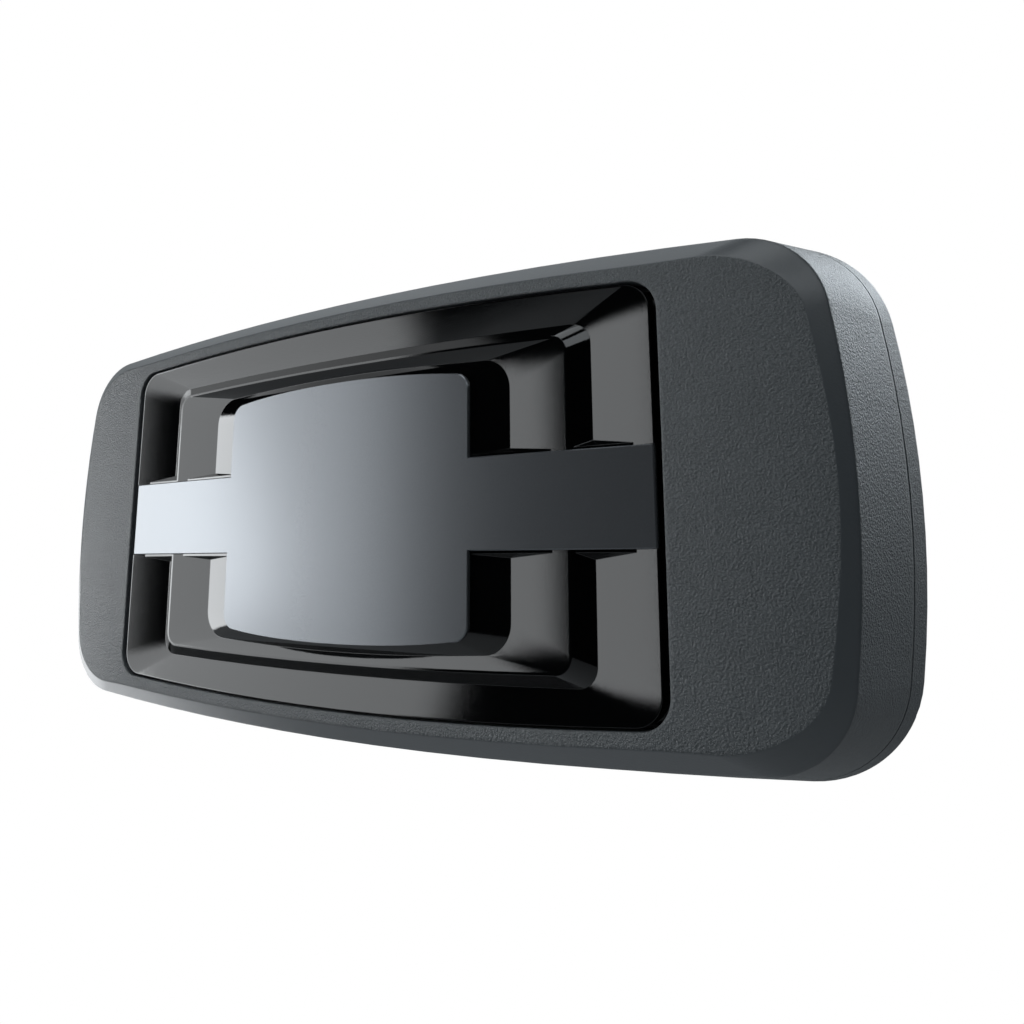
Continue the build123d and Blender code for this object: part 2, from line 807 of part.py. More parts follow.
def make_power_jack_body():
    """The plastic body of the power jack, with its round bore and the slot of its leaf."""
    y = jack_front + power_jack_depth / 2
    body = block(power_jack_width, power_jack_depth, power_jack_height, power_jack_x, y, board_face)
    axis = board_face + power_axis_height
    body -= along_y(power_bore_radius, power_bore_depth + cut_overrun, power_jack_x, jack_front - cut_overrun, axis)
    slot_height = power_leaf_thickness + 2 * power_leaf_gap
    body -= block(power_leaf_width + 2 * power_leaf_gap, power_leaf_length + 2 * power_leaf_gap, slot_height * 2,
                  power_jack_x, leaf_y(), axis + power_bore_radius - slot_height)
    return body


def leaf_y():
    """The middle of the power jack's leaf spring."""
    return jack_front + power_bore_depth - power_leaf_length / 2 - power_leaf_gap


def make_power_jack_pin():
    """The centre pin of the power jack, with a round tip."""
    axis = board_face + power_axis_height
    start = jack_front + power_bore_depth - power_pin_length
    pin = along_y(power_pin_radius, power_pin_length, power_jack_x, start, axis)
    return fillet(pin.faces().sort_by(Axis.Y)[0].edges(), power_pin_radius / 2)


def make_power_jack_spring():
    """The flat leaf spring that presses on the plug's sleeve."""
    axis = board_face + power_axis_height
    slot_height = power_leaf_thickness + 2 * power_leaf_gap
    base = axis + power_bore_radius - slot_height + power_leaf_gap
    top = axis + power_bore_radius + slot_height
    leaf = block(power_leaf_width, power_leaf_length, power_leaf_thickness, power_jack_x, leaf_y(), base)
    heel_y = leaf_y() + power_leaf_length / 2 - power_leaf_thickness / 2
    leaf += block(power_leaf_width, power_leaf_thickness, top - base, power_jack_x, heel_y, base)
    return leaf


def make_transformer():
    """The network transformer: a dark moulded block a little over the board."""
    body = block(transformer_width, transformer_length, transformer_thickness, network_jack_x, transformer_y,
                 board_face + transformer_lift)
    return chamfer(body.faces().sort_by(Axis.Z)[-1].edges(), chip_corner)


def make_transformer_leads():
    """Two rows of bent leads under the transformer."""
    leads = []
    edge = transformer_width / 2
    for side in (1, -1):
        for index in range(lead_count):
            y = transformer_y + (index - (lead_count - 1) / 2) * lead_pitch
            x = network_jack_x + side * (edge + lead_thickness / 2)
            riser = block(lead_thickness, lead_width, transformer_thickness / 2, x, y, board_face)
            foot_x = network_jack_x + side * (edge + lead_reach / 2)
            leads.append(riser + block(lead_reach, lead_width, lead_thickness, foot_x, y, board_face))
    return leads


def chip(width, length, thickness, x, y):
    """A moulded chip on the board, with bevelled top edges."""
    body = block(width, length, thickness, x, y, board_face)
    return chamfer(body.faces().sort_by(Axis.Z)[-1].edges(), min(chip_corner, thickness / 2) / 2)


def make_inductor():
    """The power inductor: a square ferrite block with cut corners and a round top."""
    body = block(inductor_size, inductor_size, inductor_thickness, inductor_x, inductor_y, board_face)
    body = chamfer(body.edges().filter_by(Axis.Z), inductor_corner)
    groove = post(inductor_size, inductor_thickness / 2, inductor_x, inductor_y, board_face + inductor_thickness / 4)
    groove -= post(inductor_size / 2 - chip_corner, inductor_thickness, inductor_x, inductor_y, board_face)
    return body - groove


def make_capacitors():
    """Aluminium cans with a pressed groove near the foot."""
    cans = []
    for index in range(capacitor_count):
        x = capacitor_x + index * capacitor_spacing
        can = post(capacitor_radius, capacitor_can_height, x, capacitor_y, board_face)
        can = fillet(can.faces().sort_by(Axis.Z)[-1].edges(), capacitor_groove)
        tube = post(capacitor_radius + capacitor_groove, capacitor_groove * 2, x, capacitor_y,
                    board_face + capacitor_radius / 2)
        tube -= post(capacitor_radius - capacitor_groove, capacitor_groove * 2, x, capacitor_y,
                     board_face + capacitor_radius / 2)
        cans.append(can - tube)
    return cans


def component_places():
    """Rows of small chip components between the larger parts, as columns and rows at one pitch."""
    left = inductor_x - inductor_size / 2
    low = inductor_y + inductor_size / 2 + component_pitch / 2
    rows = [(processor_x - processor_size / 2 + component_width, processor_y + processor_size / 2 + component_width, 5),
            (processor_x - processor_size / 2, processor_y - processor_size / 2 - component_length, 6),
            (radio_x - radio_can_width / 2, radio_y - radio_can_length / 2 - component_length, 6),
            (left + component_width, low, 6),
            (capacitor_x - capacitor_radius, capacitor_y + capacitor_radius + component_length, 5)]
    return [(x + index * component_pitch, y) for x, y, count in rows for index in range(count)]


def make_components():
    """The small resistors and capacitors."""
    return [block(component_width, component_length, component_height, x, y, board_face)
            for x, y in component_places()]


def make_radio_can():
    """The sheet metal can over the radio chip, open towards the board."""
    can = rounded_block(radio_can_width, radio_can_length, radio_can_height, radio_can_corner, radio_x, radio_y,
                        board_face)
    can -= rounded_block(radio_can_width - 2 * radio_can_wall, radio_can_length - 2 * radio_can_wall,
                         radio_can_height - radio_can_wall, radio_can_corner - radio_can_wall, radio_x, radio_y,
                         board_face)
    return can


def make_antenna():
    """A metal strip bent into a bridge with two feet on the board."""
    low = board_face + antenna_thickness / 2
    high = board_face + antenna_height
    half = antenna_span / 2
    points = [(-half - antenna_foot, 0, low), (-half, 0, low), (-half, 0, high), (half, 0, high), (half, 0, low),
              (half + antenna_foot, 0, low)]
    path = FilletPolyline(*points, radius=antenna_bend_radius)
    start = Plane(origin=points[0], x_dir=(0, 1, 0), z_dir=(1, 0, 0))
    strip = sweep(start * Rectangle(antenna_width, antenna_thickness), path)
    return Pos(antenna_x, antenna_y, 0) * Rot(0, 0, 90) * strip


def lamp_places():
    """The status lamps in their row."""
    return [lamp_x + (index - (lamp_count - 1) / 2) * lamp_pitch for index in range(lamp_count)]


def pipe_leg_places():
    """The light pipe's two legs, one beyond each end of the lamps."""
    return [lamp_x - pipe_leg_spacing / 2, lamp_x + pipe_leg_spacing / 2]


def make_status_lamps():
    """Small light-emitting chips with a lens each."""
    return [block(lamp_width, lamp_length, lamp_thickness, x, lamp_y, board_face) for x in lamp_places()]


def make_light_pipe():
    """One clear moulding: a rod from each lamp to the insert's back, a bridge and two legs in the board."""
    start = board_face + lamp_thickness + pipe_lamp_gap
    rods = [post(pipe_radius, insert_back - start, x, lamp_y, start) for x in lamp_places()]
    length = pipe_leg_spacing + 2 * pipe_leg_radius
    bridge = rounded_block(length, pipe_bridge_width, pipe_bridge_thickness, pipe_leg_radius, lamp_x, lamp_y,
                           board_face + pipe_bridge_height)
    legs = []
    for x in pipe_leg_places():
        legs.append(post(pipe_leg_radius, pipe_bridge_height + board_thickness, x, lamp_y, board_base))
        shoulder = pipe_leg_radius + pipe_leg_clearance * 4
        legs.append(post(shoulder, pipe_bridge_height, x, lamp_y, board_face))
    pipe = bridge
    for piece in rods + legs:
        pipe += piece
    return pipe


def plunger_face():
    """Where the switch's plunger meets the button, along X."""
    return switch_front() - plunger_reach


def switch_front():
    """The switch's face towards the left wall, along X."""
    return tongue_end + switch_edge


def make_switch_body():
    """The switch: a moulded block with a socket for its plunger."""
    x = switch_front() + switch_cover_thickness + switch_cover_clearance + switch_width / 2
    body = block(switch_width, switch_length, switch_height, x, 0, board_face)
    opening = plunger_size + 2 * plunger_clearance
    depth = plunger_inside + button_travel + plunger_run_out + cut_overrun
    socket = block(depth, opening, opening, switch_front() + depth / 2 - cut_overrun, 0,
                   button_height - opening / 2)
    body -= socket
    return chamfer(body.edges().filter_by(Axis.X).sort_by(Axis.Z)[-2:], chip_corner)


def make_switch_cover():
    """The sheet metal face of the switch, with two legs down its sides."""
    thickness = switch_cover_thickness
    x = switch_front() + thickness / 2
    length = switch_length + 2 * (thickness + switch_cover_clearance)
    cover = block(thickness, length, switch_height - chip_corner, x, 0, board_face)
    leg_length = switch_width / 2
    for side in (1, -1):
        y = side * (length - thickness) / 2
        cover += block(leg_length, thickness, switch_height / 2, switch_front() + leg_length / 2, y, board_face)
    opening = plunger_size + 2 * plunger_clearance
    cover -= block(4 * thickness, opening, opening, x, 0, button_height - opening / 2)
    return cover


def make_switch_plunger():
    """The switch's square plunger."""
    length = plunger_reach + plunger_inside
    return block(length, plunger_size, plunger_size, plunger_face() + length / 2, 0,
                 button_height - plunger_size / 2)


def make_side_button():
    """The button's cap: a round head in the wall, a flange behind it and a post to the plunger."""
    outer = -case_half_width(button_height) - button_proud
    wall_inside = case_half_width(button_height + button_flange_radius) - wall / math.cos(math.radians(case_draft))
    flange_face = -wall_inside + button_flange_gap
    head = along_x(button_radius, flange_face - outer, outer, 0, button_height)
    head = fillet(head.faces().sort_by(Axis.X)[0].edges(), button_edge_round)
    flange = along_x(button_flange_radius, button_flange_thickness, flange_face, 0, button_height)
    stem = along_x(button_post_radius, plunger_face() - flange_face, flange_face, 0, button_height)
    return head + flange + stem


def make_feet():
    """Four round rubber feet in their recesses."""
    feet = []
    for x, y in corners(foot_x, foot_y):
        foot = post(foot_radius, foot_thickness, x, y, foot_recess - foot_thickness)
        feet.append(fillet(foot.faces().sort_by(Axis.Z)[0].edges(), foot_edge_round))
    return feet


def make_label():
    """The blank rating label in its recess."""
    return rounded_block(label_width, label_height, label_thickness, label_corner, 0, label_y, 0)


def make_screws(places, shank, head, head_height, length, seat, up):
    """One kind of screw at each of its places."""
    return [screw(shank, head, head_height, length, x, y, seat, up) for x, y in places]


def stand_up(shapes):
    """Turn a piece from lying on its back to hanging on the wall, front towards -Y."""
    pieces = shapes if isinstance(shapes, list) else [shapes]
    solids = [solid for piece in pieces for solid in piece.solids()]
    turned = [Plane.XZ.location * solid for solid in solids]
    return turned[0] if len(turned) == 1 else Compound(children=turned)


def build():
    """Every piece of the gateway, by its name."""
    ear_seat = face_back - ear_boss_height - ear_thickness
    return {
        "front_housing": make_front_housing(),
        "rear_housing": make_rear_housing(),
        "glossy_insert": make_glossy_insert(),
        "cross_plate": make_cross_plate(),
        "circuit_board": make_board(),
        "network_jack_shell": make_network_jack_shell(),
        "network_jack_body": make_network_jack_body(),
        "network_jack_contacts": make_network_jack_contacts(),
        "network_transformer": make_transformer(),
        "transformer_leads": make_transformer_leads(),
        "power_jack_body": make_power_jack_body(),
        "power_jack_pin": make_power_jack_pin(),
        "power_jack_spring": make_power_jack_spring(),
        "processor_chip": chip(processor_size, processor_size, processor_thickness, processor_x, processor_y),
        "memory_chips": [chip(memory_width, memory_length, memory_thickness, memory_x, y)
                         for y in (memory_upper_y, memory_lower_y)],
        "regulator_chip": chip(regulator_width, regulator_length, regulator_thickness, regulator_x, regulator_y),
        "power_inductor": make_inductor(),
        "electrolytic_capacitors": make_capacitors(),
        "clock_crystals": [chip(crystal_width, crystal_length, crystal_thickness, crystal_x, y)
                           for y in (crystal_upper_y, crystal_lower_y)],
        "chip_components": make_components(),
        "radio_chip": chip(radio_chip_size, radio_chip_size, radio_chip_thickness, radio_x, radio_y),
        "radio_shield_can": make_radio_can(),
        "antenna_strip": make_antenna(),
        "status_lamps": make_status_lamps(),
        "light_pipe": make_light_pipe(),
        "side_button": make_side_button(),
        "switch_body": make_switch_body(),
        "switch_cover": make_switch_cover(),
        "switch_plunger": make_switch_plunger(),
        "housing_screws": make_screws(corners(case_screw_x, case_screw_y), case_screw_shank, case_screw_head,
                                      case_screw_head_height, case_screw_length, case_screw_seat, True),
        "board_screws": make_screws(board_screw_places(), board_screw_shank, board_screw_head,
                                    board_screw_head_height, board_screw_length, board_face, False),
        "insert_screws": make_screws(ear_places(), insert_screw_shank, insert_screw_head,
                                     insert_screw_head_height, insert_screw_length, ear_seat, True),
        "rubber_feet": make_feet(),
        "rating_label": make_label(),
    }


os.makedirs("parts", exist_ok=True)
for name, shapes in build().items():
    export_step(stand_up(shapes), f"parts/{name}.step")
    print(name)
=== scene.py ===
import math

import bpy
from mathutils import Matrix, Quaternion, Vector

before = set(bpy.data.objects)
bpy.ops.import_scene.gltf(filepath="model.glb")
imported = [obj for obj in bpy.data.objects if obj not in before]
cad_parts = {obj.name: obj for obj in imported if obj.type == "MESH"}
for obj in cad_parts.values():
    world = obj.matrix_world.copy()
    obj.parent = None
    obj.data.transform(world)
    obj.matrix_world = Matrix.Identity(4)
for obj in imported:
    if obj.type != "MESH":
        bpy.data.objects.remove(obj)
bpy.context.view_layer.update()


# How the gateway is looked at: from just in front of its right half and a little below its middle, along
# its length, close enough for the far end to shrink. The axis leaves the picture's middle, so the frame
# is shifted by the tenth of its width that the photograph's cropping needs.
eye = Vector((0.0939, -0.12005, -0.0072))
yaw, pitch, roll = -0.5707, 0.1805, -0.0063
ahead = Vector((math.sin(yaw) * math.cos(pitch), math.cos(yaw) * math.cos(pitch), math.sin(pitch)))
level = Vector((math.cos(yaw), -math.sin(yaw), 0))
upright = level.cross(ahead)
right = math.cos(roll) * level + math.sin(roll) * upright
up = math.cos(roll) * upright - math.sin(roll) * level
lens = bpy.data.cameras.new("camera")
lens.sensor_width = 36
lens.lens = 30.18
lens.shift_y = -0.1094
lens.clip_start = 0.005
camera = bpy.data.objects.new("camera", lens)
camera.matrix_world = Matrix.Translation(eye) @ Matrix((right, up, -ahead)).transposed().to_4x4()
bpy.context.scene.collection.objects.link(camera)
bpy.context.scene.camera = camera
bpy.context.scene.view_settings.view_transform = "Standard"


# The rear shell is a shallow injection moulding in charcoal plastic. The mould was spark eroded, so the
# plastic carries a fine dull grain, and faint flow mottling in its colour.
def plain_material(name):
    """A new material with only its shader and output."""
    material = bpy.data.materials.new(name)
    material.use_nodes = True
    nodes, links = material.node_tree.nodes, material.node_tree.links
    return material, nodes, links, nodes["Principled BSDF"]


def shared_effect(name, inputs, outputs):
    """An empty node group with named sockets, and its two end nodes."""
    group = bpy.data.node_groups.new(name, "ShaderNodeTree")
    for label, value in inputs.items():
        kind = "NodeSocketVector" if value is None else "NodeSocketFloat"
        socket = group.interface.new_socket(label, in_out="INPUT", socket_type=kind)
        if value is not None:
            socket.default_value = value
    for label in outputs:
        group.interface.new_socket(label, in_out="OUTPUT", socket_type="NodeSocketFloat")
    return group, group.nodes.new("NodeGroupInput"), group.nodes.new("NodeGroupOutput")


def reckon(tree, operation, *values):
    """One Math node fed with numbers or sockets."""
    node = tree.nodes.new("ShaderNodeMath")
    node.operation = operation
    for index, value in enumerate(values):
        if isinstance(value, (int, float)):
            node.inputs[index].default_value = value
        else:
            tree.links.new(value, node.inputs[index])
    return node.outputs[0]


def moulded_grain():
    """Fine pebbled grain of a moulded shell: its height, and the mottling that it gives to the colour."""
    group, given, made = shared_effect("moulded grain", {"Place": None, "Cells per metre": 4800.0},
                                       ("Height", "Mottle"))
    pebbles = group.nodes.new("ShaderNodeTexNoise")
    pebbles.inputs["Detail"].default_value = 3
    pebbles.inputs["Roughness"].default_value = 0.6
    pits = group.nodes.new("ShaderNodeTexVoronoi")
    pits.feature = "SMOOTH_F1"
    pits.inputs["Smoothness"].default_value = 0.6
    broad = group.nodes.new("ShaderNodeTexNoise")
    broad.inputs["Detail"].default_value = 2
    for node, share in ((pebbles, 1.0), (pits, 0.62), (broad, 0.03)):
        group.links.new(given.outputs["Place"], node.inputs["Vector"])
        group.links.new(reckon(group, "MULTIPLY", given.outputs["Cells per metre"], share), node.inputs["Scale"])
    pit_depth = reckon(group, "MULTIPLY", pits.outputs["Distance"], 0.55)
    height = reckon(group, "ADD", pebbles.outputs["Fac"], pit_depth)
    group.links.new(height, made.inputs["Height"])
    fine_contrast, broad_contrast, level = 2.3, 0.3, 0.8
    mottle = reckon(group, "ADD", reckon(group, "MULTIPLY", pebbles.outputs["Fac"], fine_contrast),
                    reckon(group, "MULTIPLY", broad.outputs["Fac"], broad_contrast))
    group.links.new(reckon(group, "SUBTRACT", mottle, level), made.inputs["Mottle"])
    return group


def own_place(nodes):
    """The piece's own coordinates, so that a finish moves with its piece."""
    return nodes.new("ShaderNodeTexCoord").outputs["Object"]


def put_group(nodes, links, group, **values):
    """One of the shared effects in a material, with its own values and links."""
    node = nodes.new("ShaderNodeGroup")
    node.node_tree = group
    for label, value in values.items():
        socket = node.inputs[label.replace("_", " ")]
        if isinstance(value, (int, float)):
            socket.default_value = value
        else:
            links.new(value, socket)
    return node


def blend_colours(nodes, links, share, first, second):
    """A colour between two, or between a socket's and another, by a mask."""
    mix = nodes.new("ShaderNodeMix")
    mix.data_type = "RGBA"
    links.new(share, mix.inputs["Factor"])
    for label, value in (("A", first), ("B", second)):
        if isinstance(value, tuple):
            mix.inputs[label].default_value = (*value, 1)
        else:
            links.new(value, mix.inputs[label])
    return mix.outputs["Result"]


def raise_surface(nodes, links, surface, height, strength, distance, edge_round=0.0):
    """Relief from a height, over edges that are rounded a little in the moulding."""
    bump = nodes.new("ShaderNodeBump")
    if edge_round:
        softened = nodes.new("ShaderNodeBevel")
        softened.samples = 6
        softened.inputs["Radius"].default_value = edge_round
        links.new(softened.outputs["Normal"], bump.inputs["Normal"])
    bump.inputs["Strength"].default_value = strength
    bump.inputs["Distance"].default_value = distance
    links.new(height, bump.inputs["Height"])
    links.new(bump.outputs["Normal"], surface.inputs["Normal"])


def dress(node, material):
    """Give a CAD piece its finish."""
    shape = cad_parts[node]
    shape.data.materials.clear()
    shape.data.materials.append(material)


grain = moulded_grain()
charcoal = (0.025, 0.030, 0.033), (0.072, 0.080, 0.085)
shell_roughness = 0.46
grain_depth = 0.00015
rear_plastic, nodes, links, surface = plain_material("rear shell plastic")
pebbled = put_group(nodes, links, grain, Place=own_place(nodes))
links.new(blend_colours(nodes, links, pebbled.outputs["Mottle"], *charcoal), surface.inputs["Base Color"])
surface.inputs["Roughness"].default_value = shell_roughness
raise_surface(nodes, links, surface, pebbled.outputs["Height"], 1.0, grain_depth)
dress("rear_housing", rear_plastic)


# The circuit board stands on posts of the rear shell: woven glass laminate with copper tracks under
# green lacquer, and tinned holes where the tracks change sides. Its cut edges show the bare laminate.
def routed_tracks():
    """Tracks in bundles along and across a board, and the holes between them, as masks."""
    group, given, made = shared_effect("routed tracks", {"Place": None, "Pitch": 0.0009}, ("Track", "Hole"))
    split = group.nodes.new("ShaderNodeSeparateXYZ")
    group.links.new(given.outputs["Place"], split.inputs[0])
    lanes = {}
    for axis in "XZ":
        lanes[axis] = reckon(group, "DIVIDE", split.outputs[axis], given.outputs["Pitch"])

    def lottery(first, second):
        """A fixed random number for each cell."""
        pair = group.nodes.new("ShaderNodeCombineXYZ")
        group.links.new(first, pair.inputs["X"])
        group.links.new(second, pair.inputs["Y"])
        noise = group.nodes.new("ShaderNodeTexWhiteNoise")
        noise.noise_dimensions = "2D"
        group.links.new(pair.outputs[0], noise.inputs["Vector"])
        return noise.outputs["Value"]

    stretch_length, track_half_width, hole_radius_squared = 9.0, 0.2, 0.09
    runs = []
    for across, along, shift, share in (("Z", "X", 3.0, 0.48), ("X", "Z", 11.0, 0.66)):
        lane = reckon(group, "FLOOR", lanes[across])
        lengths = reckon(group, "DIVIDE", lanes[along], stretch_length)
        stretch = reckon(group, "FLOOR", reckon(group, "ADD", lengths, shift))
        used = reckon(group, "GREATER_THAN", lottery(lane, stretch), share)
        middle = reckon(group, "ABSOLUTE", reckon(group, "SUBTRACT", reckon(group, "FRACT", lanes[across]), 0.5))
        runs.append(reckon(group, "MULTIPLY", used, reckon(group, "LESS_THAN", middle, track_half_width)))
    group.links.new(reckon(group, "MAXIMUM", *runs), made.inputs["Track"])
    cell = [reckon(group, "FLOOR", lanes[axis]) for axis in "XZ"]
    drilled = reckon(group, "GREATER_THAN", lottery(*cell), 0.95)
    offsets = []
    for axis in "XZ":
        centred = reckon(group, "SUBTRACT", reckon(group, "FRACT", lanes[axis]), 0.5)
        offsets.append(reckon(group, "MULTIPLY", centred, centred))
    near = reckon(group, "LESS_THAN", reckon(group, "ADD", *offsets), hole_radius_squared)
    group.links.new(reckon(group, "MULTIPLY", drilled, near), made.inputs["Hole"])
    return group


def surface_lean(nodes, links):
    """The three parts of the way in which the surface faces."""
    lean = nodes.new("ShaderNodeSeparateXYZ")
    links.new(nodes.new("ShaderNodeNewGeometry").outputs["True Normal"], lean.inputs[0])
    return lean.outputs


laminate, nodes, links, surface = plain_material("lacquered laminate")
board_tree = laminate.node_tree
routed = put_group(nodes, links, routed_tracks(), Place=own_place(nodes))
lacquered = blend_colours(nodes, links, routed.outputs["Track"], (0.006, 0.075, 0.030), (0.020, 0.150, 0.052))
tinned = blend_colours(nodes, links, routed.outputs["Hole"], lacquered, (0.62, 0.60, 0.55))
lean = surface_lean(nodes, links)
cut_edge = reckon(board_tree, "LESS_THAN", reckon(board_tree, "ABSOLUTE", lean["Y"]), 0.5)
links.new(blend_colours(nodes, links, cut_edge, tinned, (0.42, 0.36, 0.17)), surface.inputs["Base Color"])
links.new(reckon(board_tree, "MULTIPLY", routed.outputs["Hole"], 0.9), surface.inputs["Metallic"])
surface.inputs["Roughness"].default_value = 0.32
raise_surface(nodes, links, surface, routed.outputs["Track"], 0.6, 0.00003)
dress("circuit_board", laminate)


# The black packages on the board: processor, memories, regulator, radio chip, and the potted network
# transformer. All are filled epoxy, pressed in steel moulds that leave it matt and finely pitted.
def noise_over(nodes, links, place, cells, detail=2.0):
    """A noise of so many cells per metre, as a mask."""
    noise = nodes.new("ShaderNodeTexNoise")
    noise.inputs["Scale"].default_value = cells
    noise.inputs["Detail"].default_value = detail
    links.new(place, noise.inputs["Vector"])
    return noise.outputs["Fac"]


def spread_over(nodes, links, mask, low, high):
    """A number between two, by a mask."""
    span = nodes.new("ShaderNodeMapRange")
    span.inputs["To Min"].default_value = low
    span.inputs["To Max"].default_value = high
    links.new(mask, span.inputs["Value"])
    return span.outputs["Result"]


def mottled_finish(name, dark, light, rough, cells, relief=0.00001, metal=0.0, stretch=(1, 1, 1)):
    """A finish whose colour, roughness and relief follow one noise, stretched where it was drawn or rolled."""
    material, nodes, links, surface = plain_material(name)
    spread = nodes.new("ShaderNodeVectorMath")
    spread.operation = "MULTIPLY"
    spread.inputs[1].default_value = stretch
    links.new(own_place(nodes), spread.inputs[0])
    specks = noise_over(nodes, links, spread.outputs[0], cells, 3)
    links.new(blend_colours(nodes, links, specks, dark, light), surface.inputs["Base Color"])
    links.new(spread_over(nodes, links, specks, *rough), surface.inputs["Roughness"])
    surface.inputs["Metallic"].default_value = metal
    raise_surface(nodes, links, surface, specks, 0.6, relief)
    return material


dress("processor_chip", mottled_finish("processor epoxy", (0.012, 0.012, 0.013), (0.026, 0.026, 0.027),
                                       (0.48, 0.66), 9000))
dress("memory_chips", mottled_finish("memory epoxy", (0.016, 0.016, 0.017), (0.032, 0.032, 0.033),
                                     (0.50, 0.70), 8000))
dress("regulator_chip", mottled_finish("regulator epoxy", (0.013, 0.013, 0.014), (0.029, 0.028, 0.028),
                                       (0.42, 0.60), 7000))
dress("radio_chip", mottled_finish("radio epoxy", (0.011, 0.012, 0.014), (0.024, 0.025, 0.027),
                                   (0.45, 0.62), 11000))
dress("network_transformer", mottled_finish("potting epoxy", (0.010, 0.010, 0.011), (0.030, 0.029, 0.028),
                                            (0.35, 0.62), 2600, 0.00003))


# The transformer's bent legs, the crystals' cans, the chip components' end caps and the strip antenna are
# tinned metal, rolled or drawn, with the cloudy shine that solder and tin plate have.
dress("transformer_leads", mottled_finish("dipped tin", (0.46, 0.46, 0.45), (0.72, 0.72, 0.70), (0.20, 0.42),
                                          2400, 0.00002, 1.0, (1, 1, 3)))
dress("clock_crystals", mottled_finish("drawn crystal can", (0.50, 0.49, 0.47), (0.70, 0.69, 0.66),
                                       (0.16, 0.30), 3200, 0.00001, 1.0, (3, 1, 0.4)))
dress("antenna_strip", mottled_finish("rolled tin plate", (0.52, 0.51, 0.49), (0.74, 0.73, 0.70),
                                      (0.18, 0.34), 1800, 0.00001, 1.0, (6, 6, 0.5)))


# The power inductor is pressed iron powder, dark grey and slightly granular. The chip components are
# baked ceramic: tan capacitors and black resistors, told apart here cell by cell, with tinned end caps.
dress("power_inductor", mottled_finish("pressed iron powder", (0.045, 0.045, 0.047), (0.105, 0.104, 0.102),
                                       (0.55, 0.80), 5200, 0.00004))
ceramic, nodes, links, surface = plain_material("baked ceramic")
place = own_place(nodes)
kind = nodes.new("ShaderNodeTexVoronoi")
kind.inputs["Scale"].default_value = 190
links.new(place, kind.inputs["Vector"])
hue = nodes.new("ShaderNodeSeparateColor")
links.new(kind.outputs["Color"], hue.inputs[0])
black_one = reckon(ceramic.node_tree, "GREATER_THAN", hue.outputs["Red"], 0.55)
clay = noise_over(nodes, links, place, 7000)
tan = blend_colours(nodes, links, clay, (0.20, 0.125, 0.070), (0.34, 0.225, 0.135))
links.new(blend_colours(nodes, links, black_one, tan, (0.018, 0.018, 0.020)), surface.inputs["Base Color"])
surface.inputs["Roughness"].default_value = 0.42
raise_surface(nodes, links, surface, clay, 0.5, 0.00001)
dress("chip_components", ceramic)


# The two electrolytic capacitors are drawn aluminium cans with a rolled groove and a clear sleeve. The
# radio's shield is a folded can of tin-plated steel over the radio chip.
dress("electrolytic_capacitors", mottled_finish("drawn aluminium", (0.60, 0.61, 0.62), (0.80, 0.80, 0.81),
                                                (0.20, 0.36), 1500, 0.00001, 1.0, (5, 0.4, 5)))
dress("radio_shield_can", mottled_finish("tin plated steel", (0.48, 0.49, 0.50), (0.66, 0.66, 0.66),
                                         (0.22, 0.38), 1400, 0.00001, 1.0, (0.5, 4, 4)))


# The network socket: a sheet steel shell folded round a moulded black body, with eight gold plated spring
# wires that rise towards the back of the plug's space. The shell is soldered to the board.
dress("network_jack_shell", mottled_finish("folded nickel steel", (0.42, 0.42, 0.41), (0.62, 0.61, 0.59),
                                           (0.24, 0.40), 1100, 0.00001, 1.0, (0.4, 5, 5)))
dress("network_jack_body", mottled_finish("glass filled nylon", (0.011, 0.011, 0.012), (0.027, 0.027, 0.028),
                                          (0.38, 0.58), 3600, 0.00002))
dress("network_jack_contacts", mottled_finish("gold plate", (0.86, 0.58, 0.22), (0.98, 0.74, 0.36),
                                              (0.14, 0.28), 2200, 0.00001, 1.0, (4, 1, 1)))


# The power socket: a black moulded body with a turned nickel pin in its bore, and a leaf spring of bronze
# beside it that presses on the plug's sleeve. It is soldered to the board beside the network socket.
dress("power_jack_body", mottled_finish("socket nylon", (0.012, 0.012, 0.013), (0.030, 0.030, 0.031),
                                        (0.40, 0.60), 3000, 0.00002))
dress("power_jack_pin", mottled_finish("turned nickel", (0.56, 0.54, 0.50), (0.76, 0.74, 0.70),
                                       (0.12, 0.26), 3000, 0.00001, 1.0, (0.4, 0.4, 6)))
dress("power_jack_spring", mottled_finish("spring bronze", (0.52, 0.36, 0.20), (0.72, 0.52, 0.31),
                                          (0.20, 0.36), 2000, 0.00001, 1.0, (4, 1, 0.5)))


# Three status lamps sit on the board's left, small packages whose lens holds pale yellow phosphor. A clear
# acrylic pipe carries their light to the back of the insert.
lamp_lens, nodes, links, surface = plain_material("lamp phosphor")
grains = noise_over(nodes, links, own_place(nodes), 12000)
links.new(blend_colours(nodes, links, grains, (0.70, 0.62, 0.22), (0.90, 0.86, 0.55)), surface.inputs["Base Color"])
surface.inputs["Roughness"].default_value = 0.35
surface.inputs["Coat Weight"].default_value = 0.6
dress("status_lamps", lamp_lens)
acrylic, nodes, links, surface = plain_material("clear acrylic")
ripple = noise_over(nodes, links, own_place(nodes), 500)
surface.inputs["Base Color"].default_value = (0.94, 0.96, 0.97, 1)
surface.inputs["Transmission Weight"].default_value = 1.0
surface.inputs["IOR"].default_value = 1.49
surface.inputs["Roughness"].default_value = 0.04
raise_surface(nodes, links, surface, ripple, 0.2, 0.00002)
dress("light_pipe", acrylic)


